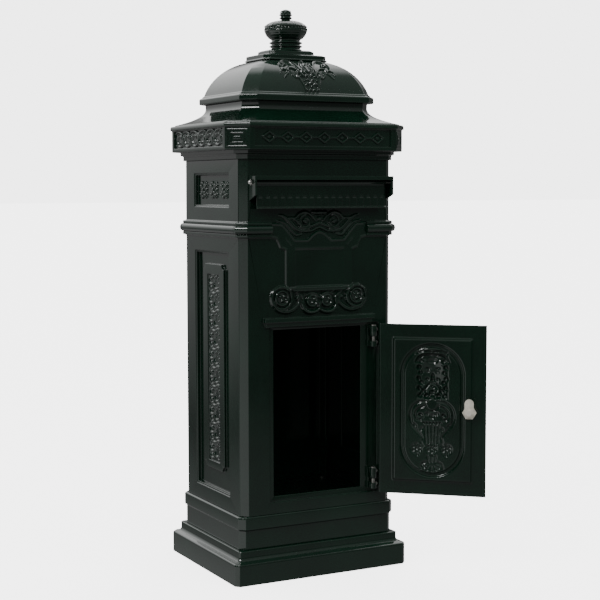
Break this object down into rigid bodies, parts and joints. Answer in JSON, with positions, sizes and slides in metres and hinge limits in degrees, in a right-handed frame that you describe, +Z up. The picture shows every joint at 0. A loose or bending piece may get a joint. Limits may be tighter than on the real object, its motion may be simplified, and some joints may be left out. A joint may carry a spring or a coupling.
{
  "type": "pillar mailbox",
  "caption": "Free-standing pillar mailbox with panelled column, stepped plinth, domed roof with finial, hooded letter flap and hinged locking door.",
  "frame": {"origin": "centre of the plinth's underside, which is the centre of the four anchor holes", "axes": "+Z up, front with the door and flap towards -Y, +X to the right seen from the front"},
  "size_m": [0.4449, 0.4319, 1.025],
  "materials": {
    "cast_paint": "dark green high-gloss paint over cast aluminium, slight orange peel and worn edges",
    "sheet_paint": "dark green painted aluminium sheet",
    "zinc_steel": "zinc-plated steel, satin",
    "nickel": "nickel-plated lock body, semi-bright",
    "stainless": "bright stainless acorn nuts and pin"
  },
  "bodies": {
    "pillar": {"base_plinth": "cast_paint", "base_collar": "cast_paint", "floor_plate": "sheet_paint", "front_panel": "cast_paint", "back_panel": "cast_paint", "left_panel": "cast_paint", "right_panel": "cast_paint", "upper_corner_brackets": "zinc_steel", "lower_corner_brackets": "zinc_steel", "front_cartouche": "cast_paint", "left_scroll_strip": "cast_paint", "right_scroll_strip": "cast_paint", "left_knots": "cast_paint", "right_knots": "cast_paint", "cornice": "cast_paint", "front_fret": "cast_paint", "back_fret": "cast_paint", "left_guilloche": "cast_paint", "right_guilloche": "cast_paint", "roof_neck": "cast_paint", "dome_roof": "cast_paint", "front_swag": "cast_paint", "back_swag": "cast_paint", "finial_base": "cast_paint", "finial_crown": "cast_paint", "finial_bud": "cast_paint", "finial_stud": "zinc_steel", "finial_washer": "zinc_steel", "finial_nut": "zinc_steel", "letter_hood": "cast_paint", "flap_pin": "stainless", "flap_pin_nuts": "stainless", "upper_hinge_bracket": "cast_paint", "lower_hinge_bracket": "cast_paint", "upper_hinge_pin": "zinc_steel", "lower_hinge_pin": "zinc_steel", "base_screws": "zinc_steel", "floor_screws": "zinc_steel", "panel_screws": "zinc_steel", "cornice_screws": "zinc_steel", "neck_screws": "zinc_steel", "roof_screws": "zinc_steel", "hinge_screws": "zinc_steel", "hood_screws": "zinc_steel"},
    "door_leaf": {"door": "cast_paint", "lock_barrel": "nickel", "lock_nut": "nickel"},
    "cam": {"lock_plug": "nickel", "lock_cam": "zinc_steel", "lock_cam_screw": "zinc_steel"},
    "flap": {"letter_flap": "cast_paint"}
  },
  "joints": [
    {"name": "door_hinge", "type": "hinge", "parent": "pillar", "child": "door_leaf", "pos_m": [0.1105, -0.133, 0.296], "axis": [0, 0, 1], "range_deg": [-138.5, 30]},
    {"name": "lock_turn", "type": "hinge", "parent": "door_leaf", "child": "cam", "pos_m": [0.2305, -0.26721, 0.295], "axis": [-0.6626, -0.749, 0], "range_deg": [-90, 0]},
    {"name": "flap_hinge", "type": "hinge", "parent": "pillar", "child": "flap", "pos_m": [0, -0.1415, 0.7075], "axis": [-1, 0, 0], "range_deg": [0, 70]}
  ]
}
